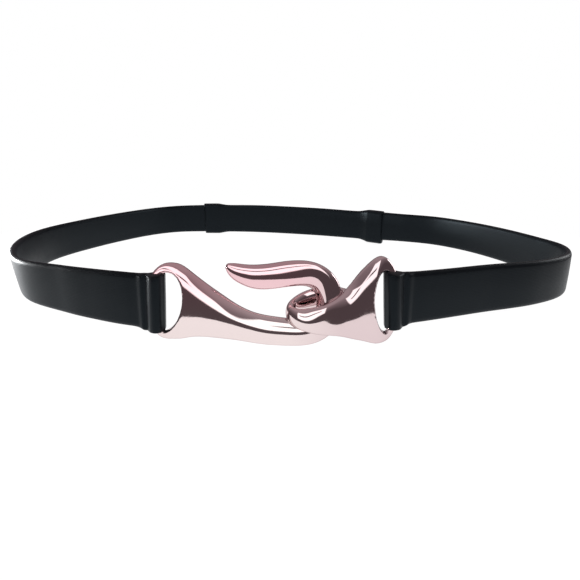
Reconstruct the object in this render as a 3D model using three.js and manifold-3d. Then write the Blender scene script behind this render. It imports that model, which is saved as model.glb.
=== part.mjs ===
// Elastic belt with a two-part metal hook buckle, standing on its lower edge.
// Millimetres, +Z up. X runs along the buckle, the front of the belt faces -Y, and the floor is z = 0.
import * as THREE from 'three';
import { mergeVertices } from 'three/addons/utils/BufferGeometryUtils.js';
import Module from 'manifold-3d';

const wasm = await Module();
wasm.setup();

// Driving dimensions
const STRAP_THICK = 3.0;
const STRAP_EDGE = 2.3;
const STRAP_STEP = 6.5;
const GAP = 0.3;
const BAR_WIDE = 3.2;
const ROLL_WALL = 2.3;
const LEFT_ROLL_LONG = 9.6;
const RIGHT_ROLL_LONG = 8.2;
const SLEEVE_LONG = 16.5;
const SLEEVE_WALL = 1.3;
const SLEEVE_ONE_FOOT = 0;
const SLEEVE_TWO_FOOT = 0.8;
const SLEEVE_TALL = 24.4;
const SLEEVE_EASE = 5;
const POCKET_DEEP = 13;
const SLEEVE_ONE_AT = 301;
const SLEEVE_TWO_AT = 432;
const FRONT_Y = -103;
const ROD_SQUARE = 0.9;
const ROD_SIDES = 16;
const LOOP_SIDES = 10;
const RING_SIDES = 12;
const ROW_PIECES = 2;
const ROUTE_PIECES = 1200;
const SAME_POINT = 1e-4;
const CUT_DEEP = 12;
const CUT_OVER = 1;
const LOOK = 0.1;
const THROUGH = new THREE.Vector3(0, 1, 0);
const STRAP_COLOUR = 0x1b1d20;
const METAL_COLOUR = 0xe9c9cb;

// The belt's way round, from the hook half's bar, round the left side, the back and the right side to the
// eye half's bar: plan position, height of the lower edge, height of the strap, and outward lean in degrees.
const route = [
  { x: -44.1, y: -103.0, foot: 6.8, tall: 23.6, lean: 0 },
  { x: -52.0, y: -101.6, foot: 6.9, tall: 23.2, lean: 0 },
  { x: -63.0, y: -98.5, foot: 6.8, tall: 23.2, lean: 0 },
  { x: -76.0, y: -94.0, foot: 7.2, tall: 22.6, lean: 0 },
  { x: -91.0, y: -88.0, foot: 7.8, tall: 21.8, lean: 1 },
  { x: -113.5, y: -76.5, foot: 8.8, tall: 20.4, lean: 4 },
  { x: -128.0, y: -56.5, foot: 8.6, tall: 20.0, lean: 6 },
  { x: -138.0, y: -31.0, foot: 7.4, tall: 20.2, lean: 6 },
  { x: -141.5, y: -6.0, foot: 6.3, tall: 20.5, lean: 3 },
  { x: -138.0, y: 19.0, foot: 5.2, tall: 20.6, lean: 0 },
  { x: -124.0, y: 55.0, foot: 3.8, tall: 20.8, lean: 0 },
  { x: -106.0, y: 85.0, foot: 2.7, tall: 21.0, lean: 0 },
  { x: -88.0, y: 102.0, foot: 1.8, tall: 21.4, lean: 0 },
  { x: -68.0, y: 107.0, foot: 1.4, tall: 21.8, lean: 0 },
  { x: -44.0, y: 107.0, foot: 1.3, tall: 22.0, lean: 0 },
  { x: -14.0, y: 103.5, foot: 1.3, tall: 22.2, lean: 0 },
  { x: 26.0, y: 92.0, foot: 1.6, tall: 21.8, lean: 0 },
  { x: 54.0, y: 79.5, foot: 2.2, tall: 21.2, lean: 0 },
  { x: 68.0, y: 71.0, foot: 3.0, tall: 21.2, lean: 0 },
  { x: 86.0, y: 58.0, foot: 4.8, tall: 20.0, lean: 0 },
  { x: 106.0, y: 43.0, foot: 6.0, tall: 19.6, lean: 0 },
  { x: 121.0, y: 22.0, foot: 7.0, tall: 19.4, lean: -1 },
  { x: 132.0, y: -3.0, foot: 7.8, tall: 19.6, lean: -2 },
  { x: 139.5, y: -29.0, foot: 8.4, tall: 19.8, lean: -2 },
  { x: 142.5, y: -50.0, foot: 8.8, tall: 20.0, lean: -2 },
  { x: 134.5, y: -68.0, foot: 8.8, tall: 20.4, lean: -1 },
  { x: 116.0, y: -80.0, foot: 8.6, tall: 20.8, lean: 0 },
  { x: 89.0, y: -88.5, foot: 8.2, tall: 21.6, lean: 0 },
  { x: 70.0, y: -94.5, foot: 7.8, tall: 22.0, lean: 0 },
  { x: 54.0, y: -99.5, foot: 7.6, tall: 22.5, lean: 0 },
  { x: 44.0, y: -101.8, foot: 7.4, tall: 23.4, lean: 0 },
];

// The hook half's bar and D-shaped loop, from the plate's upper corner round the bar to its lower corner.
const hookLoop = [
  { x: -36.6, z: 31.2, wide: 3.6, deep: 3.4 },
  { x: -40.2, z: 33.3, wide: 3.8, deep: 3.4 },
  { x: -43.6, z: 32.1, wide: 3.3, deep: 3.3 },
  { x: -46.3, z: 29.9, wide: 3.2, deep: 3.2 },
  { x: -47.8, z: 26.8, wide: BAR_WIDE, deep: BAR_WIDE },
  { x: -48.2, z: 21.0, wide: BAR_WIDE, deep: BAR_WIDE },
  { x: -48.8, z: 12.5, wide: BAR_WIDE, deep: BAR_WIDE },
  { x: -49.0, z: 7.2, wide: 3.0, deep: BAR_WIDE },
  { x: -47.4, z: 4.2, wide: 2.8, deep: 3.2 },
  { x: -44.2, z: 3.7, wide: 2.9, deep: 3.3 },
  { x: -40.6, z: 4.4, wide: 3.2, deep: 3.4 },
  { x: -37.0, z: 5.8, wide: 3.2, deep: 3.6 },
];

// The hook half's plate, rod, U-turn and return arm: centre, width, depth, and the way that the width points.
const hookSpine = [
  { x: -43.4, z: 18.6, wide: 29.0, deep: 3.2, turn: -90 },
  { x: -41.0, z: 18.9, wide: 31.6, deep: 3.4, turn: -90 },
  { x: -37.3, z: 19.0, wide: 31.4, deep: 4.2, turn: -90 },
  { x: -33.3, z: 17.7, wide: 27.6, deep: 5.0, turn: -90 },
  { x: -29.3, z: 15.7, wide: 23.6, deep: 5.5, turn: -90 },
  { x: -25.2, z: 13.7, wide: 20.3, deep: 5.9, turn: -90 },
  { x: -21.0, z: 12.0, wide: 17.5, deep: 6.2, turn: -90 },
  { x: -16.8, z: 10.1, wide: 15.2, deep: 6.4, turn: -90 },
  { x: -12.5, z: 8.4, wide: 13.6, deep: 6.5, turn: -90 },
  { x: -8.2, z: 7.0, wide: 12.2, deep: 6.5, turn: -90 },
  { x: -3.0, z: 6.0, wide: 11.5, deep: 6.4, turn: -90 },
  { x: 4.0, z: 5.5, wide: 10.9, deep: 6.2, turn: -90 },
  { x: 10.5, z: 5.4, wide: 10.5, deep: 6.0, turn: -84 },
  { x: 15.6, z: 6.6, wide: 10.3, deep: 6.0, turn: -64 },
  { x: 19.4, z: 9.4, wide: 10.3, deep: 6.0, turn: -42 },
  { x: 21.5, z: 13.4, wide: 10.4, deep: 6.0, turn: -22 },
  { x: 21.8, z: 18.0, wide: 10.5, deep: 6.0, turn: 0 },
  { x: 21.0, z: 22.8, wide: 10.5, deep: 6.1, turn: 22 },
  { x: 18.5, z: 27.0, wide: 10.4, deep: 6.3, turn: 48 },
  { x: 14.4, z: 29.6, wide: 10.1, deep: 6.5, turn: 72 },
  { x: 9.6, z: 30.3, wide: 9.7, deep: 6.6, turn: 88 },
  { x: 2.2, z: 29.4, wide: 9.8, deep: 6.6, turn: 98 },
  { x: -3.8, z: 28.6, wide: 9.3, deep: 6.4, turn: 94 },
  { x: -8.2, z: 28.4, wide: 8.5, deep: 6.0, turn: 86 },
  { x: -12.6, z: 29.4, wide: 7.0, deep: 5.4, turn: 72 },
  { x: -15.8, z: 31.0, wide: 5.4, deep: 4.6, turn: 60 },
  { x: -18.0, z: 32.5, wide: 3.6, deep: 3.2, turn: 50 },
  { x: -19.0, z: 33.3, wide: 1.2, deep: 1.2, turn: 48 },
];

// The clear hole of the hook half's loop, on the plate's side, and of the eye half's.
const hookHole = [
  { x: -47.0, z: 33.0 },
  { x: -43.2, z: 31.9 },
  { x: -39.9, z: 30.6 },
  { x: -37.8, z: 28.0 },
  { x: -36.7, z: 24.4 },
  { x: -36.6, z: 20.0 },
  { x: -37.3, z: 15.9 },
  { x: -39.0, z: 11.7 },
  { x: -41.4, z: 8.4 },
  { x: -43.7, z: 6.0 },
  { x: -47.0, z: 4.6 },
];
const eyeHole = [
  { x: 47.0, z: 33.0 },
  { x: 43.4, z: 31.5 },
  { x: 41.1, z: 29.2 },
  { x: 39.9, z: 25.4 },
  { x: 39.4, z: 21.0 },
  { x: 39.7, z: 16.5 },
  { x: 40.6, z: 12.0 },
  { x: 42.2, z: 8.1 },
  { x: 44.0, z: 5.8 },
  { x: 47.0, z: 4.6 },
];

// The eye half's bar and D-shaped loop, from the plate's upper corner round the bar to its lower corner.
const eyeLoop = [
  { x: 38.2, z: 33.2, wide: 3.8, deep: 3.6 },
  { x: 41.4, z: 36.0, wide: 3.8, deep: 3.4 },
  { x: 44.0, z: 34.6, wide: 3.4, deep: 3.3 },
  { x: 46.0, z: 31.8, wide: 3.3, deep: 3.2 },
  { x: 47.0, z: 27.6, wide: BAR_WIDE, deep: BAR_WIDE },
  { x: 47.3, z: 20.0, wide: BAR_WIDE, deep: BAR_WIDE },
  { x: 47.7, z: 12.0, wide: BAR_WIDE, deep: BAR_WIDE },
  { x: 47.6, z: 6.8, wide: 3.0, deep: BAR_WIDE },
  { x: 45.9, z: 3.6, wide: 2.8, deep: 3.2 },
  { x: 42.8, z: 2.5, wide: 3.4, deep: 3.4 },
  { x: 39.0, z: 3.8, wide: 3.4, deep: 3.6 },
];

// The eye half's plate, from the ring's root to the loop.
const eyeSpine = [
  { x: 27.8, z: 13.4, wide: 17.0, deep: 8.0, turn: -90 },
  { x: 29.4, z: 14.0, wide: 20.4, deep: 9.0, turn: -90 },
  { x: 31.2, z: 15.5, wide: 24.8, deep: 8.0, turn: -90 },
  { x: 34.0, z: 17.4, wide: 30.0, deep: 6.2, turn: -90 },
  { x: 37.0, z: 18.7, wide: 33.8, deep: 5.0, turn: -90 },
  { x: 39.6, z: 19.1, wide: 36.2, deep: 4.2, turn: -90 },
  { x: 41.4, z: 19.2, wide: 36.9, deep: 3.4, turn: -90 },
  { x: 43.3, z: 18.9, wide: 34.8, deep: 3.2, turn: -90 },
];

// The eye half's tilted ring, from the plate along the rear arm, round the left end and along the front arm.
const eyeRing = [
  { x: 32.0, y: -102.0, z: 18.0, wide: 8.0, deep: 4.0 },
  { x: 28.4, y: -99.6, z: 19.2, wide: 7.2, deep: 3.8 },
  { x: 24.0, y: -97.6, z: 20.0, wide: 6.4, deep: 3.5 },
  { x: 18.5, y: -97.0, z: 19.8, wide: 5.8, deep: 3.4 },
  { x: 13.0, y: -97.4, z: 18.4, wide: 5.8, deep: 3.6 },
  { x: 8.8, y: -99.0, z: 16.6, wide: 6.0, deep: 3.9 },
  { x: 6.4, y: -103.4, z: 14.5, wide: 6.2, deep: 4.2 },
  { x: 8.6, y: -108.0, z: 13.2, wide: 7.4, deep: 3.9 },
  { x: 13.0, y: -108.9, z: 13.0, wide: 9.4, deep: 3.8 },
  { x: 18.5, y: -108.9, z: 13.5, wide: 11.6, deep: 3.8 },
  { x: 24.0, y: -108.6, z: 14.0, wide: 14.6, deep: 3.9 },
  { x: 29.0, y: -106.6, z: 14.2, wide: 18.0, deep: 4.4 },
  { x: 32.5, y: -104.4, z: 15.6, wide: 20.0, deep: 5.0 },
];

// A strap's end round a bar: distance from the end, half thickness, how far it spreads up and down, how deep
// its rounded edges are, and how far its lower edge is skewed away from the buckle.
function rollTable(length) {
  const radius = BAR_WIDE / 2 + GAP + ROLL_WALL;
  return [
    { at: 0, half: 0.3 * radius, rise: -0.6, drop: 0.8, edge: 0.8, skew: 1.9 },
    { at: 0.1 * length, half: 0.68 * radius, rise: 0, drop: 1.2, edge: 0.9, skew: 1.9 },
    { at: 0.25 * length, half: 0.92 * radius, rise: 0.2, drop: 1.3, edge: 1, skew: 1.9 },
    { at: 0.48 * length, half: radius, rise: 0.2, drop: 1.3, edge: 1, skew: 1.9 },
    { at: 0.7 * length, half: 0.9 * radius, rise: 0.2, drop: 1.3, edge: 1, skew: 1.9 },
    { at: 0.9 * length, half: 0.58 * radius, rise: 0.1, drop: 1.2, edge: 1, skew: 1.5 },
    { at: 1.05 * length, half: 0.38 * radius, rise: 0, drop: 0.9, edge: 1, skew: 1.1 },
    { at: 1.28 * length, half: 0.46 * radius, rise: 0, drop: 0.3, edge: 1.6, skew: 0.6 },
    { at: 1.6 * length, half: STRAP_THICK / 2, rise: 0, drop: 0, edge: STRAP_EDGE, skew: 0 },
  ];
}

// A strap's rounded corner, as shares of its half thickness and of the depth of its edge.
const strapCorner = [
  { out: 0.4, up: 0 },
  { out: 0.84, up: 0.3 },
  { out: 1, up: 1 },
];

// Value of one column of a table between its rows, by a Catmull-Rom curve; place counts rows from 0.
function column(rows, name, place) {
  const last = rows.length - 1;
  const row = Math.min(Math.max(Math.floor(place), 0), last - 1);
  const t = place - row;
  const before = rows[Math.max(row - 1, 0)][name];
  const from = rows[row][name];
  const to = rows[row + 1][name];
  const after = rows[Math.min(row + 2, last)][name];
  const slopeFrom = (to - before) / 2;
  const slopeTo = (after - from) / 2;
  const rise = to - from;
  return from + t * (slopeFrom + t * (3 * rise - 2 * slopeFrom - slopeTo + t * (slopeFrom + slopeTo - 2 * rise)));
}

// Straight-line value of a column at a distance, held at both ends of the table.
function atDistance(rows, name, distance) {
  if (distance <= rows[0].at) {
    return rows[0][name];
  }
  for (let i = 1; i < rows.length; i += 1) {
    if (distance <= rows[i].at) {
      const share = (distance - rows[i - 1].at) / (rows[i].at - rows[i - 1].at);
      return rows[i - 1][name] + share * (rows[i][name] - rows[i - 1][name]);
    }
  }
  return rows[rows.length - 1][name];
}

// Joins rings of points into a closed skin, with a flat cap at each end.
function loft(rings) {
  const sides = rings[0].length;
  const points = rings.flat();
  const faces = [];
  for (let r = 0; r < rings.length - 1; r += 1) {
    for (let i = 0; i < sides; i += 1) {
      const a = r * sides + i;
      const b = r * sides + (i + 1) % sides;
      faces.push(a, b, b + sides, a, b + sides, a + sides);
    }
  }
  const lastRing = (rings.length - 1) * sides;
  for (let i = 1; i < sides - 1; i += 1) {
    faces.push(0, i + 1, i);
    faces.push(lastRing, lastRing + i, lastRing + i + 1);
  }
  const geometry = new THREE.BufferGeometry();
  geometry.setAttribute('position', new THREE.Float32BufferAttribute(points.flatMap((p) => [p.x, p.y, p.z]), 3));
  geometry.setIndex(faces);
  return geometry;
}

// A solid for joins and cuts, turned right side out.
function solid(geometry) {
  const bare = geometry.clone();
  bare.deleteAttribute('normal');
  bare.deleteAttribute('uv');
  const merged = mergeVertices(bare, SAME_POINT);
  const vertProperties = new Float32Array(merged.attributes.position.array);
  const triVerts = new Uint32Array(merged.index.array);
  if (signedVolume(vertProperties, triVerts) < 0) {
    triVerts.reverse();
  }
  return new wasm.Manifold(new wasm.Mesh({ numProp: 3, vertProperties, triVerts }));
}

function signedVolume(points, faces) {
  const a = new THREE.Vector3();
  const b = new THREE.Vector3();
  const c = new THREE.Vector3();
  let total = 0;
  for (let i = 0; i < faces.length; i += 3) {
    a.fromArray(points, 3 * faces[i]);
    b.fromArray(points, 3 * faces[i + 1]);
    c.fromArray(points, 3 * faces[i + 2]);
    total += a.dot(b.cross(c)) / 6;
  }
  return total;
}

function toMesh(name, body, material) {
  const { vertProperties, triVerts } = body.getMesh();
  const geometry = new THREE.BufferGeometry();
  geometry.setAttribute('position', new THREE.BufferAttribute(new Float32Array(vertProperties), 3));
  geometry.setIndex(new THREE.BufferAttribute(new Uint32Array(triVerts), 1));
  geometry.computeVertexNormals();
  const mesh = new THREE.Mesh(geometry, material);
  mesh.name = name;
  return mesh;
}

// The belt's route by length along it.
const routeCurve = new THREE.CatmullRomCurve3(
  route.map((row) => new THREE.Vector3(row.x, row.y, 0)), false, 'catmullrom', 0.5);
routeCurve.arcLengthDivisions = ROUTE_PIECES;
const ROUTE_LONG = routeCurve.getLength();

function station(distance) {
  const share = Math.min(Math.max(distance / ROUTE_LONG, 0), 1);
  const place = routeCurve.getUtoTmapping(share) * (route.length - 1);
  const centre = routeCurve.getPointAt(share);
  const along = routeCurve.getTangentAt(share);
  return {
    centre,
    along,
    outward: new THREE.Vector3(along.y, -along.x, 0).multiplyScalar(-1),
    foot: column(route, 'foot', place),
    tall: column(route, 'tall', place),
    lean: column(route, 'lean', place),
  };
}

// One section of a strap: a flat band with rounded edges, twelve points; skew moves the lower edge along it.
function bandSection(distance, half, foot, tall, edge, skew = 0) {
  const { centre, outward, along, lean } = station(distance);
  const lower = strapCorner.map((p) => ({ out: p.out * half, up: p.up * edge }));
  const upper = strapCorner.map((p) => ({ out: p.out * half, up: tall - p.up * edge })).reverse();
  const right = [...lower, ...upper];
  const left = right.map((p) => ({ out: -p.out, up: p.up })).reverse();
  const slope = Math.tan(THREE.MathUtils.degToRad(lean));
  return [...right, ...left].map((p) => centre.clone()
    .addScaledVector(outward, p.out + (p.up - tall / 2) * slope)
    .addScaledVector(along, skew * (0.5 - p.up / tall))
    .setZ(foot + p.up));
}

// Distances along a stretch: every step, and closer together beside the places given.
function distances(from, to, closeAt) {
  const list = [from, to, ...closeAt];
  const steps = Math.round((to - from) / STRAP_STEP);
  for (let i = 1; i < steps; i += 1) {
    const distance = from + (to - from) * i / steps;
    if (closeAt.every((near) => Math.abs(near - distance) > 0.4 * STRAP_STEP)) {
      list.push(distance);
    }
  }
  return list.sort((a, b) => a - b);
}

// A side strap: rolled round a bar at one end, plain at the end in the sleeve.
function sideStrap(barEnd, sleeveEnd, rollLong, loopRows) {
  const roll = rollTable(rollLong);
  const way = Math.sign(sleeveEnd - barEnd);
  const low = Math.min(barEnd, sleeveEnd);
  const high = Math.max(barEnd, sleeveEnd);
  const places = distances(low, high, roll.slice(1).map((row) => barEnd + way * row.at));
  const rings = places.map((distance) => {
    const fromBar = Math.abs(distance - barEnd);
    const { foot, tall } = station(distance);
    const drop = atDistance(roll, 'drop', fromBar);
    const rise = atDistance(roll, 'rise', fromBar);
    const half = atDistance(roll, 'half', fromBar);
    const edge = atDistance(roll, 'edge', fromBar);
    const skew = way * atDistance(roll, 'skew', fromBar);
    return bandSection(distance, half, foot - drop, tall + drop + rise, edge, skew);
  });
  return solid(loft(rings)).subtract(solid(flatTube(loopRows, 2 * GAP)));
}

// The back strap, with a sleeve at each end over the side strap's end.
function backStrap() {
  const from = SLEEVE_ONE_AT;
  const to = SLEEVE_TWO_AT + SLEEVE_LONG;
  const sleeveHalf = STRAP_THICK / 2 + GAP + SLEEVE_WALL;
  const shape = [
    { at: 0, half: 0.72 * sleeveHalf, share: 0.85 },
    { at: 0.9, half: 0.94 * sleeveHalf, share: 1 },
    { at: 3, half: sleeveHalf, share: 1 },
    { at: SLEEVE_LONG - SLEEVE_EASE, half: sleeveHalf, share: 1 },
    { at: SLEEVE_LONG - 0.4 * SLEEVE_EASE, half: 0.72 * sleeveHalf, share: 0.6 },
    { at: SLEEVE_LONG + 0.3 * SLEEVE_EASE, half: 0.53 * sleeveHalf, share: 0.15 },
    { at: SLEEVE_LONG + SLEEVE_EASE, half: STRAP_THICK / 2, share: 0 },
  ];
  const close = shape.slice(1).flatMap((row) => [from + row.at, to - row.at]);
  const rings = distances(from, to, close).map((distance) => {
    const fromEnd = Math.min(distance - from, to - distance);
    const sleeveFoot = distance - from < to - distance ? SLEEVE_ONE_FOOT : SLEEVE_TWO_FOOT;
    const { foot, tall } = station(distance);
    const share = atDistance(shape, 'share', fromEnd);
    const half = atDistance(shape, 'half', fromEnd);
    const low = foot + (sleeveFoot - foot) * share;
    const high = foot + tall + (sleeveFoot + SLEEVE_TALL - foot - tall) * share;
    return bandSection(distance, half, low, high - low, STRAP_EDGE);
  });
  return solid(loft(rings)).subtract(pocket(from, from + POCKET_DEEP)).subtract(pocket(to - POCKET_DEEP, to));
}

// The room in a sleeve for a side strap's end.
function pocket(from, to) {
  const start = from === SLEEVE_ONE_AT ? from - CUT_OVER : from;
  const end = from === SLEEVE_ONE_AT ? to : to + CUT_OVER;
  const rings = distances(start, end, []).map((distance) => {
    const { foot, tall } = station(distance);
    return bandSection(distance, STRAP_THICK / 2 + GAP, foot - GAP, tall + 2 * GAP, STRAP_EDGE);
  });
  return solid(loft(rings));
}

// Rounded section about a centre: wide along one direction, deep along the other.
function oval(centre, wideWay, wide, deepWay, deep, sides, square) {
  const ring = [];
  for (let i = 0; i < sides; i += 1) {
    const angle = 2 * Math.PI * (i + 0.5) / sides;
    const c = Math.cos(angle);
    const s = Math.sin(angle);
    const across = Math.sign(c) * Math.abs(c) ** square * wide / 2;
    const through = Math.sign(s) * Math.abs(s) ** square * deep / 2;
    ring.push(centre.clone().addScaledVector(wideWay, across).addScaledVector(deepWay, through));
  }
  return ring;
}

// A tube in the buckle's upright plane along a table of centres; grow adds to its width and depth.
function flatTube(rows, grow) {
  const rings = [];
  for (let i = 0; i <= (rows.length - 1) * ROW_PIECES; i += 1) {
    const place = i / ROW_PIECES;
    const ahead = Math.min(place + LOOK, rows.length - 1);
    const behind = Math.max(place - LOOK, 0);
    const alongX = column(rows, 'x', ahead) - column(rows, 'x', behind);
    const alongZ = column(rows, 'z', ahead) - column(rows, 'z', behind);
    const across = new THREE.Vector3(-alongZ, 0, alongX).normalize();
    const centre = new THREE.Vector3(column(rows, 'x', place), FRONT_Y, column(rows, 'z', place));
    const wide = column(rows, 'wide', place) + grow;
    const deep = column(rows, 'deep', place) + grow;
    rings.push(oval(centre, across, wide, THROUGH, deep, LOOP_SIDES, 1));
  }
  return loft(rings);
}

// A plate or rod in the buckle's upright plane whose sections turn as the table says.
function turnedRod(rows) {
  const rings = [];
  for (let i = 0; i <= (rows.length - 1) * ROW_PIECES; i += 1) {
    const place = i / ROW_PIECES;
    const turn = THREE.MathUtils.degToRad(column(rows, 'turn', place));
    const across = new THREE.Vector3(Math.cos(turn), 0, Math.sin(turn));
    const centre = new THREE.Vector3(column(rows, 'x', place), FRONT_Y, column(rows, 'z', place));
    const wide = column(rows, 'wide', place);
    const deep = column(rows, 'deep', place);
    rings.push(oval(centre, across, wide, THROUGH, deep, ROD_SIDES, ROD_SQUARE));
  }
  return loft(rings);
}

// The ring: a band that stands upright on a path through space.
function ringBand(rows) {
  const up = new THREE.Vector3(0, 0, 1);
  const rings = [];
  for (let i = 0; i <= (rows.length - 1) * ROW_PIECES; i += 1) {
    const place = i / ROW_PIECES;
    const ahead = Math.min(place + LOOK, rows.length - 1);
    const behind = Math.max(place - LOOK, 0);
    const along = new THREE.Vector3(
      column(rows, 'x', ahead) - column(rows, 'x', behind),
      column(rows, 'y', ahead) - column(rows, 'y', behind),
      column(rows, 'z', ahead) - column(rows, 'z', behind)).normalize();
    const through = new THREE.Vector3().crossVectors(along, up).normalize();
    const across = new THREE.Vector3().crossVectors(through, along).normalize();
    const centre = new THREE.Vector3(column(rows, 'x', place), column(rows, 'y', place), column(rows, 'z', place));
    const wide = column(rows, 'wide', place);
    const deep = column(rows, 'deep', place);
    rings.push(oval(centre, across, wide, through, deep, RING_SIDES, 1));
  }
  return loft(rings);
}

// The opening of a loop, cut right through the plate.
function holeCut(points) {
  const shape = new THREE.Shape(points.map((p) => new THREE.Vector2(p.x, p.z)));
  const cut = new THREE.ExtrudeGeometry(shape, { depth: CUT_DEEP, bevelEnabled: false });
  cut.rotateX(Math.PI / 2);
  cut.translate(0, FRONT_Y + CUT_DEEP / 2, 0);
  return solid(cut);
}

function hookHalf() {
  return solid(turnedRod(hookSpine)).subtract(holeCut(hookHole)).add(solid(flatTube(hookLoop, 0)));
}

function eyeHalf() {
  const plate = solid(turnedRod(eyeSpine));
  const ring = solid(ringBand(eyeRing));
  return plate.add(ring).subtract(holeCut(eyeHole)).add(solid(flatTube(eyeLoop, 0)));
}

const strapMaterial = new THREE.MeshStandardMaterial({ color: STRAP_COLOUR, roughness: 0.45, metalness: 0 });
const metalMaterial = new THREE.MeshStandardMaterial({ color: METAL_COLOUR, roughness: 0.06, metalness: 1 });

const belt = new THREE.Group();
belt.add(toMesh('hook_half', hookHalf(), metalMaterial));
belt.add(toMesh('eye_half', eyeHalf(), metalMaterial));
const leftEnd = SLEEVE_ONE_AT + POCKET_DEEP - GAP;
const rightEnd = SLEEVE_TWO_AT + SLEEVE_LONG - POCKET_DEEP + GAP;
belt.add(toMesh('left_strap', sideStrap(0, leftEnd, LEFT_ROLL_LONG, hookLoop), strapMaterial));
belt.add(toMesh('right_strap', sideStrap(ROUTE_LONG, rightEnd, RIGHT_ROLL_LONG, eyeLoop), strapMaterial));
belt.add(toMesh('back_strap', backStrap(), strapMaterial));

export default belt;
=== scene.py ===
"""Elastic belt with a two-part polished hook buckle: the looks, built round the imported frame."""

import math

import bpy
import numpy as np
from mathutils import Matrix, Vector


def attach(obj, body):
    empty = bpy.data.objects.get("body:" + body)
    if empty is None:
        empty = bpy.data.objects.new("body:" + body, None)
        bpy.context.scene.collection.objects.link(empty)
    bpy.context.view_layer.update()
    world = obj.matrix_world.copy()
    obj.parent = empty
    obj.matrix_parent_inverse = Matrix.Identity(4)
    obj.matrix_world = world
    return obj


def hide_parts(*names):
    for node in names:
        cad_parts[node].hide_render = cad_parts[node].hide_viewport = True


MM = 0.001
UP = np.array((0.0, 0.0, 1.0))
BACK = np.array((0.0, 1.0, 0.0))
FRONT_Y = -103.0

# Strap sizes in millimetres
STRAP_THICK = 3.0
STRAP_EDGE = 2.3
STRAP_CROWN = 0.12
GAP = 0.3
BAR_WIDE = 3.2
ROLL_WALL = 2.3
ROLL_RADIUS = BAR_WIDE / 2 + GAP + ROLL_WALL
LEFT_ROLL_LONG = 9.6
RIGHT_ROLL_LONG = 8.2
SLEEVE_WALL = 1.3
SLEEVE_LONG = 16.5
SLEEVE_HALF = STRAP_THICK / 2 + GAP + SLEEVE_WALL
SLEEVE_TALL = 24.4
SLEEVE_EASE = 5.0
SLEEVE_FEET = (0.0, 0.8)
SLEEVE_ONE_AT = 301.0
SLEEVE_TWO_AT = 432.0
POCKET_DEEP = 13.0

# The length over which a roll's thickness falls off, as a share of that over which its height does
LEFT_ROLL_FALL = 0.72
RIGHT_ROLL_FALL = 0.9

# How finely the straps are divided: DIRECTION_STEP is in rows of ROUTE, STRAP_STEP in millimetres and
# ROLL_REACH in roll lengths. Rings lie closer together near an end, the more so the higher its power
PLAN_STEPS_PER_ROW = 60
DIRECTION_STEP = 0.02
STRAP_STEP = 1.6
ROLL_REACH = 2.0
ROLL_RINGS = 60
ROLL_POWER = 1.4
SLEEVE_RINGS = 40
SLEEVE_POWER = 1.5
BACK_RINGS = 90
CORNER_STEPS = 9
CORNER_POWER = 0.85
SIDE_STEPS = 12

# The weave's coordinates go up by this for each millimetre along or up a strap
WEAVE_UNIT = 0.1

# Metal sizes in millimetres. The buckle leans back by BUCKLE_LEAN degrees about the height SWING_Z, and on
# the hook half the lean comes in between the bar and the plate. KEEL_SOFT is a share of the width
BUCKLE_LEAN = 11
SWING = math.tan(math.radians(BUCKLE_LEAN))
SWING_Z = 17.5
HOOK_BAR_X = -47.5
HOOK_PLATE_X = -38.0
HOLE_REACH = 9.0
KEEL_SOFT = 0.05

# How finely the metal is divided, how far its columns are averaged in rows, and how much it is smoothed
METAL_SIDES = 96
PIECES_PER_ROW = 8
EASE = 0.8
EASE_STEPS = 9
EASE_TAPER = 1.25
VOXEL = 0.3
SMOOTH_ROUNDS = 40
SMOOTH_AMOUNTS = (0.62, -0.64)
NORMAL_ROUNDS = 8

# Elastic: its colours, and the pitch of its ribs and picks in millimetres
DARK_ELASTIC = (0.0024, 0.0033, 0.0046, 1)
PALE_ELASTIC = (0.0038, 0.0050, 0.0066, 1)
RIB_PITCH = 0.7
PICK_PITCH = 0.45
PICK_SHARE = 0.5

# Plating: its colours low on the hook half, up the hook and on the eye half, and the heights and the places
# along the buckle between which one turns into the next, in millimetres. The rose tint is the plating's own.
# The turn from pale low down to rose up the hook and grey on the eye half is painted reflection of the
# surroundings
PALE_PLATING_PAINTED_REFLECTION = (0.82, 0.71, 0.70, 1)
ROSE_PLATING_PAINTED_REFLECTION = (0.82, 0.56, 0.59, 1)
GREY_PLATING_PAINTED_REFLECTION = (0.72, 0.59, 0.60, 1)
PAINTED_REFLECTION_HEIGHTS = (12, 26)
PAINTED_REFLECTION_PLACES = (6, 26)

# Floor and camera
FLOOR_RADIUS = 253.0
FLOOR_SIDES = 128
SENSOR_WIDE = 36
LENS = 29.17
CAMERA_PLACE = (0.006, -0.27864, 0.0855)
CAMERA_PITCH = 19.42
NEAREST_SEEN = 0.01

# Studio walls: colours by height, in degrees
PLUM = (0.045, 0.0355, 0.038)
DIM_MAUVE = (0.12, 0.098, 0.104)
MAUVE = (0.2, 0.168, 0.176)
FRONT_WALL = ((-90, PLUM), (14, PLUM), (38, DIM_MAUVE), (60, MAUVE), (90, MAUVE))
BACK_WALL = ((-90, PLUM), (10, PLUM), (35, MAUVE), (90, MAUVE))

# Places in the studio: from, to and half the width of the soft edges, in degrees up or round from the front
FRONT_TURNS = (-100, 100, 15)
BOX_RISES = (13, 45, 1.5)
BOX_TURNS = (-38, 20, 2)
BAR_RISES = (27, 31, 0.6)
BAR_TURNS = (-30, 4, 3)
BOX_LEVEL = 0.8
BAR_LEVEL = 0.05
STUDIO_STRENGTH = 2.0


def table(names, rows):
    """Named columns of a table of numbers."""
    return dict(zip(names.split(), np.array(rows, float).T))


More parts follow.
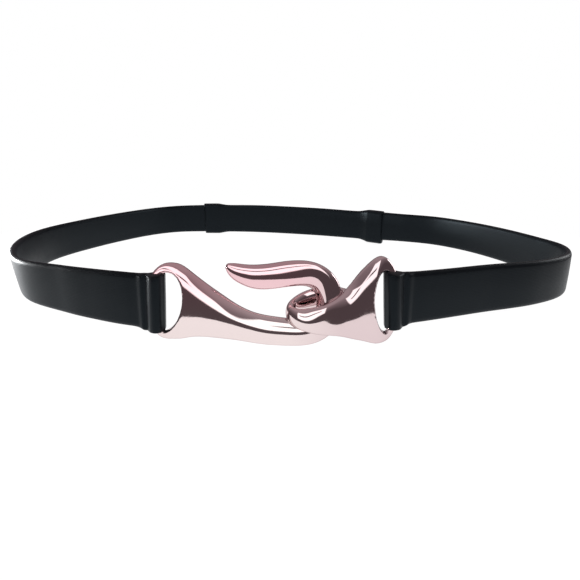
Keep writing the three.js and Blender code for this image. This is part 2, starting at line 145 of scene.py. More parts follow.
# The belt's way round: plan position, height of the lower edge, strap height and outward lean in degrees
ROUTE = table("x y foot tall lean", (
    (-44.1, -103.0, 6.8, 23.6, 0),
    (-52.0, -101.6, 6.9, 23.2, 0),
    (-63.0, -98.5, 6.8, 23.2, 0),
    (-76.0, -94.0, 7.2, 22.6, 0),
    (-91.0, -88.0, 7.8, 21.8, 1),
    (-113.5, -76.5, 8.8, 20.4, 4),
    (-128.0, -56.5, 8.6, 20.0, 6),
    (-138.0, -31.0, 7.4, 20.2, 6),
    (-141.5, -6.0, 6.3, 20.5, 3),
    (-138.0, 19.0, 5.2, 20.6, 0),
    (-124.0, 55.0, 3.8, 20.8, 0),
    (-106.0, 85.0, 2.7, 21.0, 0),
    (-88.0, 102.0, 1.8, 21.4, 0),
    (-68.0, 107.0, 1.4, 21.8, 0),
    (-44.0, 107.0, 1.3, 22.0, 0),
    (-14.0, 103.5, 1.3, 22.2, 0),
    (26.0, 92.0, 1.6, 21.8, 0),
    (54.0, 79.5, 2.2, 21.2, 0),
    (68.0, 71.0, 3.0, 21.2, 0),
    (86.0, 58.0, 4.8, 20.0, 0),
    (106.0, 43.0, 6.0, 19.6, 0),
    (121.0, 22.0, 7.0, 19.4, -1),
    (132.0, -3.0, 7.8, 19.6, -2),
    (139.5, -29.0, 8.4, 19.8, -2),
    (142.5, -50.0, 8.8, 20.0, -2),
    (134.5, -68.0, 8.8, 20.4, -1),
    (116.0, -80.0, 8.6, 20.8, 0),
    (89.0, -88.5, 8.2, 21.6, 0),
    (70.0, -94.5, 7.8, 22.0, 0),
    (54.0, -99.5, 7.6, 22.5, 0),
    (44.0, -101.8, 7.4, 23.4, 0),
))

# The hook half's loop, plate, rod, U-turn and return arm: centre, width, depth in front of and behind the
# middle, the way that the width points and how far the section leans back, in degrees, the keel's place as a
# share of half the width, how far the faces on its plus and minus side fall back, in degrees, and how square
# the section is
HOOK_SPINE = table("x z wide front back turn tilt keel plus minus power", (
    (-49.6, 17.3, 17.4, 1.6, 1.5, -90, 10, -0.6, 0, 4, 4.2),
    (-48.8, 17.4, 23.4, 1.6, 1.5, -90, 10, -0.6, 0, 6, 4.2),
    (-47.2, 17.6, 28.0, 1.7, 1.6, -90, 10, -0.6, 0, 8, 4.2),
    (-44.3, 18.4, 30.8, 1.8, 1.7, -90, 10, -0.6, 0, 8, 4.0),
    (-41.0, 18.8, 30.8, 2.3, 1.8, -90, 10, -0.6, 0, 8, 3.6),
    (-36.8, 18.5, 29.0, 3.1, 2.0, -90, 10.2, -0.6, 0, 8, 3.1),
    (-33.3, 17.5, 25.7, 3.4, 2.1, -90, 10.5, -0.62, 0, 8, 2.7),
    (-29.3, 15.9, 22.5, 3.5, 2.2, -90, 10.7, -0.65, 0, 11, 2.4),
    (-25.2, 14.2, 19.8, 3.5, 2.3, -90, 10.8, -0.67, 0, 13, 2.2),
    (-21.0, 12.5, 17.4, 3.5, 2.4, -90, 10.6, -0.55, 0, 11, 2.1),
    (-16.8, 10.8, 15.0, 3.2, 2.6, -90, 10.3, -0.33, 0, 7, 2),
    (-12.5, 9.2, 13.3, 2.7, 2.8, -90, 9.8, -0.2, 0, 6.3, 2),
    (-8.2, 7.9, 12.2, 2.3, 3.0, -90, 9.8, -0.1, 0, 6.4, 2),
    (-3.0, 6.9, 11.6, 2.0, 3.2, -90, 10.3, -0.05, 0, 8, 2),
    (4.0, 6.3, 11.0, 1.9, 3.2, -90, 10.4, -0.05, 0, 8, 2),
    (10.5, 6.0, 10.5, 2.0, 3.1, -84, 10.5, -0.1, 0, 8, 2.1),
    (15.6, 7.0, 10.3, 2.2, 2.8, -64, 10.5, -0.22, 1, 12, 2.2),
    (19.4, 9.6, 10.3, 2.2, 2.6, -42, 10.5, -0.22, 2, 20, 2.2),
    (21.5, 13.4, 10.4, 2.1, 2.4, -22, 10.5, -0.20, 3, 32, 2.2),
    (22.1, 18.0, 10.5, 2.1, 2.3, 0, 10.5, -0.20, 4, 36, 2.3),
    (21.2, 22.8, 10.5, 1.9, 2.4, 22, 9, -0.20, 3, 34, 2.8),
    (18.7, 26.9, 10.4, 1.6, 2.5, 48, 6, -0.1, 0, 20, 3.1),
    (14.4, 29.3, 10.2, 1.6, 2.6, 69, 5, -0.2, 0, 8, 2.9),
    (9.6, 29.8, 10.1, 1.8, 2.7, 87, 6.5, -0.3, 4, 2, 2.3),
    (4.0, 29.3, 10.1, 1.8, 2.8, 96, 5, -0.1, 8, 0, 2.5),
    (-2.0, 28.3, 10.0, 1.8, 2.9, 94, 2.2, 0.09, 12.9, 0, 2.8),
    (-8.2, 28.1, 9.6, 1.7, 2.8, 88, 1.5, 0.05, 13.5, 0, 2.7),
    (-12.6, 29.2, 8.0, 1.5, 2.6, 78, 3, 0, 10, 0, 2.3),
    (-15.8, 30.5, 6.6, 1.4, 2.3, 68, 5, -0.08, 7, 0, 2),
    (-18.0, 32.0, 4.2, 1.0, 1.7, 58, 5, -0.08, 5, 0, 2),
    (-19.4, 33.1, 1.4, 0.5, 0.6, 52, 5, 0, 2, 0, 2),
))

# The clear holes of the two loops
HOOK_HOLE = table("x z", (
    (-46.6, 24.0), (-46.5, 27.2), (-45.6, 29.5), (-43.5, 30.6), (-41.4, 30.5), (-39.6, 29.6), (-37.9, 27.4),
    (-36.8, 24.2), (-36.6, 20.0), (-37.3, 15.9), (-39.0, 11.7), (-41.4, 8.4), (-43.7, 6.5), (-45.6, 6.1),
    (-46.5, 7.6), (-46.6, 10.0),
))
EYE_HOLE = table("x z", (
    (45.9, 24.0), (45.7, 28.4), (44.8, 30.6), (43.2, 31.0), (41.4, 29.6), (40.1, 26.0), (39.4, 21.0),
    (39.7, 16.5), (40.6, 12.0), (42.2, 8.1), (43.8, 6.0), (45.2, 5.6), (45.9, 7.4), (45.9, 10.0),
))

# The eye half's tilted ring and plate: from the plate's back along the rear arm, round the left end, along
# the front arm and over the plate and the loop. Where upright is 0 a section stands square to the path, and
# where it is 1 it stands upright and leans back by so many degrees
EYE_SPINE = table("x y z wide front back keel plus upright lean power", (
    (34.0, -102.0, 17.6, 9.0, 2.0, 2.0, 0, 0, 0, 11, 2),
    (28.4, -99.4, 18.6, 8.6, 1.9, 1.9, 0, 0, 0, 11, 2),
    (24.0, -97.6, 19.2, 8.4, 1.8, 1.8, 0, 0, 0, 11, 2),
    (18.5, -97.0, 18.6, 8.4, 1.7, 1.7, 0, 0, 0, 11, 2),
    (13.0, -97.4, 17.3, 8.2, 1.8, 1.8, 0, 0, 0, 11, 2),
    (8.8, -99.2, 15.8, 7.6, 1.9, 1.9, 0, 0, 0, 11, 2),
    (5.6, -103.4, 14.3, 7.2, 2.1, 2.1, 0, 2, 0, 11, 2),
    (8.6, -107.8, 13.2, 7.8, 1.9, 1.9, -0.1, 10, 0, 11, 2),
    (13.0, -109.3, 12.8, 9.4, 1.8, 1.8, -0.2, 18, 0.2, 11, 2),
    (18.5, -109.1, 13.0, 11.6, 1.9, 1.7, 0.2, 0, 0.7, 12, 2.8),
    (24.0, -107.2, 13.6, 14.6, 2.2, 1.8, 0.5, 0, 1, 13.4, 2.9),
    (28.0, -105.4, 14.2, 18.6, 2.5, 1.5, 0.58, 13, 1, 11.4, 2.6),
    (31.2, -104.3, 15.5, 23.6, 2.8, 1.1, 0.6, 15, 1, 10.4, 2.6),
    (34.0, -103.6, 16.9, 27.8, 3.0, 1.0, 0.65, 15, 1, 9.4, 2.6),
    (37.0, -103.4, 18.1, 31.6, 3.0, 1.0, 0.7, 15, 1, 8.8, 2.7),
    (39.6, -103.3, 18.9, 34.6, 2.8, 1.1, 0.75, 11, 1, 8.5, 3),
    (41.8, -102.6, 19.2, 35.8, 2.5, 1.3, 0.8, 0, 1, 8.5, 3.2),
    (44.9, -101.5, 18.6, 34.0, 2.0, 1.7, 0.8, 0, 1, 7, 3.4),
    (47.2, -101.3, 17.6, 29.2, 1.5, 1.5, 0.8, 0, 1, 4, 3.4),
    (48.8, -101.3, 17.2, 22.4, 1.3, 1.4, 0.8, 0, 1, 2, 3.4),
    (49.4, -101.3, 17.0, 16.0, 1.2, 1.2, 0.8, 0, 1, 2, 3.4),
))
REAR_ARM_ROWS = (0, 7)
FRONT_ARM_ROWS = (5, 12)
PLATE_ROWS = (11, 20)


def column(rows, name, place, free_ends=False):
    """Values of one column between its rows, by a Catmull-Rom curve; place counts rows from 0. With free
    ends the curve runs on straight there, and otherwise it levels out."""
    values = rows[name]
    if free_ends:
        first, final = 2 * values[0] - values[1], 2 * values[-1] - values[-2]
    else:
        first, final = values[0], values[-1]
    padded = np.concatenate(([first], values, [final]))
    row = np.clip(np.floor(place).astype(int), 0, len(values) - 2)
    t = place - row
    before, start, end, after = (padded[row + i] for i in range(4))
    slope_in = (end - before) / 2
    slope_out = (after - start) / 2
    rise = end - start
    square = 3 * rise - 2 * slope_in - slope_out
    cube = slope_in + slope_out - 2 * rise
    return start + t * (slope_in + t * (square + t * cube))


def eased(rows, place):
    """All columns, each averaged over the neighbouring rows, so that reflections run on evenly."""
    final = len(rows["x"]) - 1
    spread = np.linspace(-EASE, EASE, EASE_STEPS)
    weight = EASE_TAPER * EASE - np.abs(spread)
    value = {}
    for name in rows:
        moved = [column(rows, name, np.clip(place + step, 0, final)) for step in spread]
        value[name] = (np.tensordot(weight, moved, 1) / weight.sum())[:, None]
    return value


def smooth_at(rows, name, distance):
    """A column by distance, on the same kind of curve, held at both ends of the table."""
    place = np.interp(distance, rows["at"], np.arange(len(rows["at"])))
    return column(rows, name, place)


# Straps

PLACES = np.linspace(0, len(ROUTE["x"]) - 1, PLAN_STEPS_PER_ROW * len(ROUTE["x"]))
PLAN = np.stack([column(ROUTE, "x", PLACES, True), column(ROUTE, "y", PLACES, True)], 1)
REACHED = np.concatenate(([0.0], np.cumsum(np.linalg.norm(np.diff(PLAN, axis=0), axis=1))))
ROUTE_LONG = REACHED[-1]


def station(distance):
    """Plan centre, direction along, and the route's heights and lean at distances along the belt."""
    place = np.interp(distance, REACHED, PLACES)
    centre = np.stack([column(ROUTE, n, place, True) for n in "xy"], 1)
    ahead = np.clip(place + DIRECTION_STEP, 0, PLACES[-1])
    behind = np.clip(place - DIRECTION_STEP, 0, PLACES[-1])
    along = np.stack([column(ROUTE, n, ahead, True) - column(ROUTE, n, behind, True) for n in "xy"], 1)
    along /= np.linalg.norm(along, axis=1)[:, None]
    foot, tall, lean = (column(ROUTE, name, place) for name in ("foot", "tall", "lean"))
    return centre, along, foot, tall, lean


def band_outline():
    """One turn round a strap's section: shares of the half thickness, edge depth and height."""
    angle = np.linspace(0, math.pi / 2, CORNER_STEPS)
    out = np.sin(angle) ** CORNER_POWER
    into = 1 - np.cos(angle)
    middle = np.linspace(0, 1, SIDE_STEPS)[1:-1]
    low = np.stack([out, into, np.zeros_like(out)], 1)
    side = np.stack([np.ones_like(middle), 1 - 2 * middle, middle], 1)
    high = np.stack([out[::-1], -into[::-1], np.ones_like(out)], 1)
    right = np.concatenate([low, side, high])
    left = right[::-1][1:-1] * np.array([-1, 1, 1])
    return np.concatenate([right, left])


def band(distance, half, low, tall, edge, skew):
    """Rings of a strap's section at distances along the belt, and its points' heights above its lower
    edge."""
    centre, along, _, _, lean = station(distance)
    outline = band_outline()
    up = edge[:, None] * outline[:, 1] + tall[:, None] * outline[:, 2]
    share = up / tall[:, None]
    out = outline[:, 0] * (half[:, None] + STRAP_CROWN * np.sin(math.pi * share) ** 2)
    out = out + (up - tall[:, None] / 2) * np.tan(np.radians(lean))[:, None]
    outward = np.stack([-along[:, 1], along[:, 0]], 1)
    shift = skew[:, None] * (0.5 - share)
    x = centre[:, :1] + outward[:, :1] * out + along[:, :1] * shift
    y = centre[:, 1:] + outward[:, 1:] * out + along[:, 1:] * shift
    return np.stack([x, y, low[:, None] + up], 2), up


def roll_table(length):
    """A strap's end round a bar, by distance from the end: half thickness, how far the top rises and the
    foot drops, depth of the rounded edge, and how far the end slants along the belt."""
    r = ROLL_RADIUS
    return table("at half rise drop edge skew", (
        (0, 0.05 * r, -0.5, 0.8, 0.8, 1.9),
        (0.1 * length, 0.66 * r, 0, 1.2, 0.9, 1.9),
        (0.25 * length, 0.92 * r, 0.2, 1.3, 1, 1.9),
        (0.46 * length, r, 0.2, 1.3, 1, 1.9),
        (0.7 * length, 0.88 * r, 0.2, 1.3, 1, 1.9),
        (0.9 * length, 0.56 * r, 0.1, 1.2, 1, 1.5),
        (1.05 * length, 0.33 * r, 0, 0.9, 1, 1.1),
        (1.27 * length, 0.49 * r, 0, 0.3, 1.6, 0.6),
        (1.6 * length, STRAP_THICK / 2, 0, 0, STRAP_EDGE, 0),
        (2.4 * length, STRAP_THICK / 2, 0, 0, STRAP_EDGE, 0),
    ))


def side_strap(name, bar_end, sleeve_end, roll_long, roll_fall):
    """A side strap: rolled round its bar, and plain where it goes into the sleeve. The roll's thickness
    falls off sooner than its height does."""
    roll = roll_table(roll_long)
    way = np.sign(sleeve_end - bar_end)
    long = abs(sleeve_end - bar_end)
    tight = ROLL_REACH * roll_long
    near = np.linspace(0, 1, ROLL_RINGS) ** ROLL_POWER * tight
    rest = np.linspace(tight, long, int((long - tight) / STRAP_STEP))[1:]
    from_bar = np.concatenate([near, rest])
    distance = bar_end + way * from_bar
    _, _, foot, tall, _ = station(distance)
    drop = smooth_at(roll, "drop", from_bar)
    rise = smooth_at(roll, "rise", from_bar)
    half = smooth_at(roll, "half", from_bar / roll_fall)
    edge = smooth_at(roll, "edge", from_bar / roll_fall)
    skew = way * smooth_at(roll, "skew", from_bar)
    rings, up = band(distance, half, foot - drop, tall + drop + rise, edge, skew)
    return ribbon(name, rings, distance, up)


def back_strap():
    """The back strap, thicker and taller at each end where its sleeves hold the side straps' ends."""
    start = SLEEVE_ONE_AT
    stop = SLEEVE_TWO_AT + SLEEVE_LONG
    shape = table("at half share", (
        (0, 0.55 * SLEEVE_HALF, 0.8),
        (0.35, 0.8 * SLEEVE_HALF, 0.93),
        (1.1, 0.96 * SLEEVE_HALF, 1),
        (3, SLEEVE_HALF, 1),
        (SLEEVE_LONG - SLEEVE_EASE, SLEEVE_HALF, 1),
        (SLEEVE_LONG - 0.4 * SLEEVE_EASE, 0.74 * SLEEVE_HALF, 0.6),
        (SLEEVE_LONG + 0.3 * SLEEVE_EASE, 0.54 * SLEEVE_HALF, 0.15),
        (SLEEVE_LONG + SLEEVE_EASE, STRAP_THICK / 2, 0),
        (SLEEVE_LONG + 3 * SLEEVE_EASE, STRAP_THICK / 2, 0),
    ))
    near = np.linspace(0, 1, SLEEVE_RINGS) ** SLEEVE_POWER * (SLEEVE_LONG + SLEEVE_EASE)
    middle = np.linspace(start + near[-1], stop - near[-1], BACK_RINGS)[1:-1]
    distance = np.concatenate([start + near, middle, stop - near[::-1]])
    from_end = np.minimum(distance - start, stop - distance)
    sleeve_foot = np.where(distance - start < stop - distance, SLEEVE_FEET[0], SLEEVE_FEET[1])
    _, _, foot, tall, _ = station(distance)
    share = smooth_at(shape, "share", from_end)
    half = smooth_at(shape, "half", from_end)
    low = foot + (sleeve_foot - foot) * share
    high = foot + tall + (sleeve_foot + SLEEVE_TALL - foot - tall) * share
    edge = np.full_like(half, STRAP_EDGE)
    rings, up = band(distance, half, low, high - low, edge, np.zeros_like(half))
    return ribbon("back_strap_look", rings, distance, up)


def ribbon(name, rings, distance, up):
    """A closed skin over a strap's rings, with the weave's coordinates along and up the strap."""
    verts, faces = skin(rings)
    obj = mesh_object(name, verts, faces)
    weave = obj.data.uv_layers.new(name="weave")
    count = rings.shape[1]
    flat = np.stack([np.repeat(distance, count), up.ravel()], 1)
    corner = np.zeros(len(obj.data.loops), np.int32)
    obj.data.loops.foreach_get("vertex_index", corner)
    weave.data.foreach_set("uv", (flat[corner] * WEAVE_UNIT).ravel())
    return obj


# Mesh helpers

def skin(rings):
    """Vertices and faces of the closed skin over a stack of rings."""
    count, sides = rings.shape[:2]
    first = np.arange(count - 1)[:, None] * sides
    here = first + np.arange(sides)
    after = first + (np.arange(sides) + 1) % sides
    quads = np.stack([here, after, after + sides, here + sides], 2).reshape(-1, 4)
    caps = [list(range(sides))[::-1], [(count - 1) * sides + i for i in range(sides)]]
    return rings.reshape(-1, 3), quads.tolist() + caps


def mesh_object(name, verts, faces, scale=MM):
    """A smooth-shaded mesh object from points in millimetres, with its faces turned outward. It is in
    metres, or at a scale of 1 in millimetres."""
    mesh = bpy.data.meshes.new(name)
    mesh.from_pydata((np.asarray(verts) * scale).tolist(), [], faces)
    mesh.validate()
    obj = bpy.data.objects.new(name, mesh)
    bpy.context.scene.collection.objects.link(obj)
    if signed_volume(mesh) < 0:
        mesh.flip_normals()
    mesh.shade_smooth()
    return obj


def vectors(collection, name):
    """A vector that each item of a collection has, as rows of three numbers."""
    values = np.zeros(len(collection) * 3)
    collection.foreach_get(name, values)
    return values.reshape(-1, 3)


def signed_volume(mesh):
    """Six times the mesh's volume, below 0 where its faces point inward."""
    mesh.calc_loop_triangles()
    co = vectors(mesh.vertices, "co")
    tri = np.zeros(len(mesh.loop_triangles) * 3, np.int32)
    mesh.loop_triangles.foreach_get("vertices", tri)
    a, b, c = (co[tri.reshape(-1, 3)[:, i]] for i in range(3))
    return float(np.einsum("ij,ij->i", a, np.cross(b, c)).sum())


def applied(obj):
    """Replaces an object's mesh by the result of its modifiers."""
    depsgraph = bpy.context.evaluated_depsgraph_get()
    mesh = bpy.data.meshes.new_from_object(obj.evaluated_get(depsgraph))
    obj.modifiers.clear()
    obj.data = mesh


# Metal

def swung(z):
    """How far back the buckle's middle stands at a height: it leans like the face it is worn on."""
    return SWING * (z - SWING_Z)


def keeled(across, value):
    """How far back a section's points stand on the two faces either side of its keel."""
    keel = value["keel"] * value["wide"] / 2
    soft = KEEL_SOFT * value["wide"]
    plus = soft * np.logaddexp(0, (across - keel) / soft) * np.tan(np.radians(value["plus"]))
    minus = soft * np.logaddexp(0, (keel - across) / soft) * np.tan(np.radians(value.get("minus", 0)))
    return plus + minus


def section(value):
    """A closed superellipse: across its width, and behind its middle, where front and back differ."""
    angle = np.linspace(0, 2 * math.pi, METAL_SIDES, endpoint=False)
    c, s = np.cos(angle), np.sin(angle)
    share = 2 / value["power"]
    across = np.sign(c) * np.abs(c) ** share * value["wide"] / 2
    behind = np.sign(s) * np.abs(s) ** share * np.where(s < 0, value["front"], value["back"])
    return across, behind


def row_places(first, last):
    """Evenly spaced places from one row of a table to another."""
    return np.linspace(first, last, (last - first) * PIECES_PER_ROW + 1)


def turned_rod(rows):
    """Rings of the loop, plate, rod and arm, whose sections turn and lean as the table says."""
    value = eased(rows, row_places(0, len(rows["x"]) - 1))
    across, behind = section(value)
    turn = np.radians(value["turn"])
    up = across * np.sin(turn)
    x = value["x"] + across * np.cos(turn)
    upright = np.clip((value["x"] - HOOK_BAR_X) / (HOOK_PLATE_X - HOOK_BAR_X), 0, 1)
    lean = upright * (swung(value["z"]) + np.tan(np.radians(value["tilt"])) * up)
    y = FRONT_Y + lean + behind + keeled(across, value)
    return np.stack([x, y, value["z"] + up], 2)


def ring_band(rows, first, last):
    """Rings of a stretch of the eye half: an upright band on a path through space."""
    value = eased(rows, row_places(first, last))
    path = np.concatenate([value["x"], value["y"], value["z"]], 1)
    along = np.gradient(path, axis=0)
    along /= np.linalg.norm(along, axis=1)[:, None]
    through = np.cross(UP, along)
    through /= np.linalg.norm(through, axis=1)[:, None]
    across = np.cross(along, through)
    leaning = np.tan(np.radians(value["lean"])) * BACK + UP
    across += np.clip(value["upright"], 0, 1) * (leaning - across)
    across /= np.linalg.norm(across, axis=1)[:, None]
    wide, behind = section(value)
    rings = path[:, None] + across[:, None] * wide[..., None] + through[:, None] * behind[..., None]
    rings[..., 1] += keeled(wide, value)
    return rings


def hole_cutter(rows):
    """A block through the plate in the shape of a loop's hole."""
    place = row_places(0, len(rows["x"]) - 1)
    x = column(rows, "x", place)
    z = column(rows, "z", place)
    rings = [np.stack([x, np.full_like(x, FRONT_Y + side * HOLE_REACH), z], 1) for side in (-1, 1)]
    return skin(np.array(rings))


def cut(shell, cutter):
    """The first shell less the second, in millimetres."""
    body = mesh_object("cut_body", *shell, scale=1)
    tool = mesh_object("cut_tool", *cutter, scale=1)
    change = body.modifiers.new("cut", "BOOLEAN")
    change.operation = "DIFFERENCE"
    change.solver = "EXACT"
    change.use_self = True
    change.object = tool
    applied(body)
    bpy.data.objects.remove(tool)
    return body


def fused(name, parts):
    """One smooth metal casting out of overlapping shells: remeshed, then low-pass smoothed."""
    body = parts[0]
    if len(parts) > 1:
        with bpy.context.temp_override(active_object=body, selected_editable_objects=parts):
            bpy.ops.object.join()
    change = body.modifiers.new("fuse", "REMESH")
    change.mode = "VOXEL"
    change.voxel_size = VOXEL
    applied(body)
    mesh = body.data
    smoothed(mesh)
    mesh.shade_smooth()
    soft_normals(mesh)
    body.name = name
    mesh.name = name
    return body


def neighbours(mesh):
    """The mesh's edges, and how many of them meet at each vertex."""
    edges = np.zeros(len(mesh.edges) * 2, np.int32)
    mesh.edges.foreach_get("vertices", edges)
    edges = edges.reshape(-1, 2)
    count = np.bincount(edges.ravel(), minlength=len(mesh.vertices)).astype(float)
    return edges, count


def averaged(values, edges, count):
    """Each vertex's neighbours' mean."""
    total = np.zeros_like(values)
    for axis in range(3):
        total[:, axis] = np.bincount(edges[:, 0], values[edges[:, 1], axis], len(count))
        total[:, axis] += np.bincount(edges[:, 1], values[edges[:, 0], axis], len(count))
    return total / count[:, None]


def smoothed(mesh):
    """Taubin smoothing, which rounds creases without shrinking the form, and a change to metres."""
    edges, count = neighbours(mesh)
    co = vectors(mesh.vertices, "co")
    for _ in range(SMOOTH_ROUNDS):
        for amount in SMOOTH_AMOUNTS:
            co = co + amount * (averaged(co, edges, count) - co)
    mesh.vertices.foreach_set("co", (co * MM).ravel())
    mesh.update()


def soft_normals(mesh):
    """Shading normals averaged over a few neighbours, for even reflections."""
    edges, count = neighbours(mesh)
    normal = vectors(mesh.vertex_normals, "vector")
    for _ in range(NORMAL_ROUNDS):
        normal = normal + averaged(normal, edges, count)
        normal /= np.linalg.norm(normal, axis=1)[:, None]
    mesh.normals_split_custom_set_from_vertices(normal.tolist())


def hook_half():
    """The hook half in one shell: loop, plate, rod, U-turn and return arm."""
    return fused("hook_half_look", [cut(skin(turned_rod(HOOK_SPINE)), hole_cutter(HOOK_HOLE))])


def eye_half():
    """The eye half out of three shells: the plate with its loop, and the ring's two arms."""
    plate = cut(skin(ring_band(EYE_SPINE, *PLATE_ROWS)), hole_cutter(EYE_HOLE))
    front = mesh_object("eye_front_arm", *skin(ring_band(EYE_SPINE, *FRONT_ARM_ROWS)), scale=1)
    rear = mesh_object("eye_rear_arm", *skin(ring_band(EYE_SPINE, *REAR_ARM_ROWS)), scale=1)
    return fused("eye_half_look", [plate, front, rear])


# Materials

def feed(tree, socket, value):
    """Gives a socket a number or a colour, or links another node's output to it."""
    if isinstance(value, bpy.types.NodeSocket):
        tree.links.new(value, socket)
    else:
        socket.default_value = value


def new_node(tree, kind, **values):
    """A node with values for its inputs, in whose names a space is written as an underscore."""
    node = tree.nodes.new(kind)
    for name, value in values.items():
        feed(tree, node.inputs[name.replace("_", " ")], value)
    return node


def calculate(tree, operation, *values):
    """The result of a Math node."""
    node = tree.nodes.new("ShaderNodeMath")
    node.operation = operation
    for socket, value in zip(node.inputs, values):
        feed(tree, socket, value)
    return node.outputs[0]


def mapped(tree, value, start=0, stop=1, low=0, high=1):
    """A value carried from one range to another, and held at both ends."""
    ends = {"From_Min": start, "From_Max": stop, "To_Min": low, "To_Max": high}
    return new_node(tree, "ShaderNodeMapRange", Value=value, **ends).outputs["Result"]


def mixed(tree, factor, first, second):
    """A colour between two colours."""
    node = tree.nodes.new("ShaderNodeMix")
    node.data_type = "RGBA"
    for name, value in (("Factor", factor), ("A", first), ("B", second)):
        feed(tree, node.inputs[name], value)
    return node.outputs["Result"]


def grey(level):
    """A level of grey as a colour socket's value."""
    return (level, level, level, 1)


def wave(tree, value, pitch):
    """A ripple of a pitch in the value's own unit."""
    return calculate(tree, "SINE", calculate(tree, "MULTIPLY", value, 2 * math.pi / pitch))


def new_material(name, **values):
    """A material with its node tree and shader, and the values that are the same all over it."""
    material = bpy.data.materials.new(name)
    material.use_nodes = True
    tree = material.node_tree
    shader = tree.nodes["Principled BSDF"]
    for socket, value in values.items():
        shader.inputs[socket.replace("_", " ")].default_value = value
    return material, tree, shader


def elastic():
    """Black woven elastic: fine ribs along the strap, finer picks across, uneven sheen."""
    material, tree, shader = new_material(
        "elastic",
        Specular_IOR_Level=0.175,
        Specular_Tint=(0.7, 0.88, 1, 1),
        Sheen_Weight=0.05,
        Sheen_Roughness=0.4,
        Sheen_Tint=(0.6, 0.7, 0.8, 1),
    )
    uv = tree.nodes.new("ShaderNodeUVMap")
    uv.uv_map = "weave"
    to_mm = (1 / WEAVE_UNIT, 1 / WEAVE_UNIT, 1)
    place = new_node(tree, "ShaderNodeMapping", Vector=uv.outputs["UV"], Scale=to_mm).outputs["Vector"]
    axes = new_node(tree, "ShaderNodeSeparateXYZ", Vector=place).outputs
    ribs = wave(tree, axes["Y"], RIB_PITCH)
    picks = wave(tree, axes["X"], PICK_PITCH)
    weave = calculate(tree, "MULTIPLY_ADD", picks, PICK_SHARE, ribs)
    bump = new_node(tree, "ShaderNodeBump", Height=weave, Strength=0.12, Distance=0.00006)
    coarse = new_node(tree, "ShaderNodeTexNoise", Vector=place, Scale=0.35, Detail=3).outputs["Fac"]
    feed(tree, shader.inputs["Base Color"], mixed(tree, coarse, DARK_ELASTIC, PALE_ELASTIC))
    feed(tree, shader.inputs["Roughness"], mapped(tree, coarse, low=0.36, high=0.44))
    feed(tree, shader.inputs["Normal"], bump.outputs["Normal"])
    return material


def rose_chrome():
    """Polished rose-tinted plating over a faintly uneven casting, with painted reflection in its colour:
    paler low on the buckle, rosier up the hook and greyer on the eye half, as the surroundings' reflections
    would fall."""
    material, tree, shader = new_material("rose_chrome", Metallic=1, Specular_Tint=(0.5, 0.46, 0.47, 1))
    place = tree.nodes.new("ShaderNodeTexCoord").outputs["Object"]
    axes = new_node(tree, "ShaderNodeSeparateXYZ", Vector=place).outputs
    # Painted reflection: the colour turns from pale low down to rose up the hook, and to grey towards the
    # eye half
    painted_reflection_up_hook = mapped(tree, axes["Z"], *(height * MM for height in PAINTED_REFLECTION_HEIGHTS))
    painted_reflection_to_eye = mapped(tree, axes["X"], *(place_x * MM for place_x in PAINTED_REFLECTION_PLACES))
    hook_painted_reflection_colour = mixed(tree, painted_reflection_up_hook, PALE_PLATING_PAINTED_REFLECTION, ROSE_PLATING_PAINTED_REFLECTION)
    feed(tree, shader.inputs["Base Color"], mixed(tree, painted_reflection_to_eye, hook_painted_reflection_colour, GREY_PLATING_PAINTED_REFLECTION))
    uneven = new_node(tree, "ShaderNodeTexNoise", Vector=place, Scale=260, Detail=2).outputs["Fac"]
    bump = new_node(tree, "ShaderNodeBump", Height=uneven, Strength=0.05, Distance=0.0001)
    feed(tree, shader.inputs["Roughness"], mapped(tree, uneven, low=0.03, high=0.09))
    feed(tree, shader.inputs["Normal"], bump.outputs["Normal"])
    return material


# Stage

def pale_floor():
    """A pale disc that also gives off light, so that it looks as white as the photograph's background."""
    material, _, _ = new_material(
        "pale_floor",
        Base_Color=grey(0.2),
        Roughness=0.9,
        Specular_IOR_Level=0,
        Emission_Color=grey(1),
        Emission_Strength=0.95,
    )
    turn = np.linspace(0, 2 * math.pi, FLOOR_SIDES, endpoint=False)
    verts = np.stack([np.cos(turn), np.sin(turn), np.zeros_like(turn)], 1) * FLOOR_RADIUS
    floor = mesh_object("floor", verts, [tuple(range(FLOOR_SIDES))])
    floor.data.materials.append(material)


def wall(tree, height, stops):
    """A wall's colour by height, where the height is the sine of the angle up. A stop is added anywhere,
    because its place is set after that."""
    node = new_node(tree, "ShaderNodeValToRGB", Fac=mapped(tree, height, -1, 1))
    points = node.color_ramp.elements
    while len(points) < len(stops):
        points.new(0.5)
    for point, (degrees, colour) in zip(points, stops):
        point.position = (math.sin(math.radians(degrees)) + 1) / 2
        point.color = (*colour, 1)
    return node.outputs["Color"]


def between(tree, angle, low, high, soft):
    """1 where an angle lies between two in degrees, and 0 elsewhere, with soft edges."""
    above = mapped(tree, angle, math.radians(low - soft), math.radians(low + soft))
    below = mapped(tree, angle, math.radians(high + soft), math.radians(high - soft))
    return calculate(tree, "MULTIPLY", above, below)


def studio_colour(tree):
    """The studio's walls, with a lit soft box above the camera and a dark bar across it."""
    place = tree.nodes.new("ShaderNodeTexCoord")
    axes = new_node(tree, "ShaderNodeSeparateXYZ", Vector=place.outputs["Generated"]).outputs
    rise = calculate(tree, "ARCSINE", axes["Z"])
    turn = calculate(tree, "ARCTAN2", axes["X"], calculate(tree, "MULTIPLY", axes["Y"], -1))
    front = wall(tree, axes["Z"], FRONT_WALL)
    back = wall(tree, axes["Z"], BACK_WALL)
    colour = mixed(tree, between(tree, turn, *FRONT_TURNS), back, front)
    for rises, turns, level in ((BOX_RISES, BOX_TURNS, BOX_LEVEL), (BAR_RISES, BAR_TURNS, BAR_LEVEL)):
        inside = calculate(tree, "MULTIPLY", between(tree, rise, *rises), between(tree, turn, *turns))
        colour = mixed(tree, inside, colour, grey(level))
    return colour


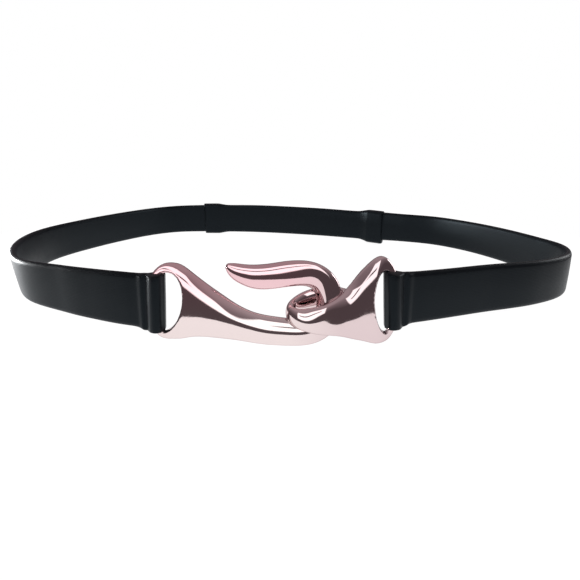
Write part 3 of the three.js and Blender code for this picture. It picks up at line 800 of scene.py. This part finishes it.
def studio_world():
    """A white background for the camera, and for light and reflections a studio: dark all round low down,
    a broad soft box above the camera, and a mauve grey overhead and high behind."""
    world = bpy.data.worlds.new("studio")
    bpy.context.scene.world = world
    world.use_nodes = True
    tree = world.node_tree
    tree.nodes.clear()
    studio = new_node(tree, "ShaderNodeBackground", Color=studio_colour(tree), Strength=STUDIO_STRENGTH)
    white = new_node(tree, "ShaderNodeBackground", Color=grey(1), Strength=1)
    path = tree.nodes.new("ShaderNodeLightPath")
    seen = new_node(tree, "ShaderNodeMixShader", Fac=path.outputs["Is Camera Ray"])
    feed(tree, seen.inputs[1], studio.outputs["Background"])
    feed(tree, seen.inputs[2], white.outputs["Background"])
    new_node(tree, "ShaderNodeOutputWorld", Surface=seen.outputs["Shader"])


def soft_light(name, place, aim, width, height, watts):
    """A soft box at a place in millimetres, turned towards a point."""
    data = bpy.data.lights.new(name, "AREA")
    data.shape = "RECTANGLE"
    data.size = width * MM
    data.size_y = height * MM
    data.energy = watts
    light = bpy.data.objects.new(name, data)
    bpy.context.scene.collection.objects.link(light)
    light.location = np.array(place) * MM
    way = Vector(aim) - Vector(place)
    light.rotation_euler = way.to_track_quat("-Z", "Y").to_euler()
    light.visible_camera = False


def camera():
    """The camera that was fitted to the photograph, looking down and to the back."""
    data = bpy.data.cameras.new("photo_camera")
    data.sensor_width = SENSOR_WIDE
    data.lens = LENS
    data.clip_start = NEAREST_SEEN
    seen = bpy.data.objects.new("photo_camera", data)
    bpy.context.scene.collection.objects.link(seen)
    seen.location = CAMERA_PLACE
    seen.rotation_euler = (math.radians(90 - CAMERA_PITCH), 0, 0)
    bpy.context.scene.camera = seen


def dressed(piece, node, material):
    """A finished piece in place of a CAD node."""
    piece.data.materials.clear()
    piece.data.materials.append(material)
    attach(piece, "root")
    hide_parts(node)


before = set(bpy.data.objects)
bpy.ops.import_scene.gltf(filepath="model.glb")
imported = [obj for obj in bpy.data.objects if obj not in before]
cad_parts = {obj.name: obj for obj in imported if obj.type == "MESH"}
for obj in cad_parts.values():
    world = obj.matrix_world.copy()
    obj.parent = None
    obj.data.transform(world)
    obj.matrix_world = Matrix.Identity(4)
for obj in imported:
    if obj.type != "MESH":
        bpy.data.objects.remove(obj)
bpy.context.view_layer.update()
camera()
bpy.context.scene.view_settings.view_transform = "Standard"

black = elastic()
metal = rose_chrome()
dressed(hook_half(), "hook_half", metal)
dressed(eye_half(), "eye_half", metal)
left_end = SLEEVE_ONE_AT + POCKET_DEEP - GAP
right_end = SLEEVE_TWO_AT + SLEEVE_LONG - POCKET_DEEP + GAP
left_side = side_strap("left_strap_look", 0.0, left_end, LEFT_ROLL_LONG, LEFT_ROLL_FALL)
right_side = side_strap("right_strap_look", ROUTE_LONG, right_end, RIGHT_ROLL_LONG, RIGHT_ROLL_FALL)
dressed(left_side, "left_strap", black)
dressed(right_side, "right_strap", black)
dressed(back_strap(), "back_strap", black)

pale_floor()
studio_world()
soft_light("left_box", place=(-490, 90, 22), aim=(-138, -40, 16), width=200, height=40, watts=5.0)
soft_light("right_box", place=(560, 80, 200), aim=(120, -50, 15), width=220, height=260, watts=0.8)
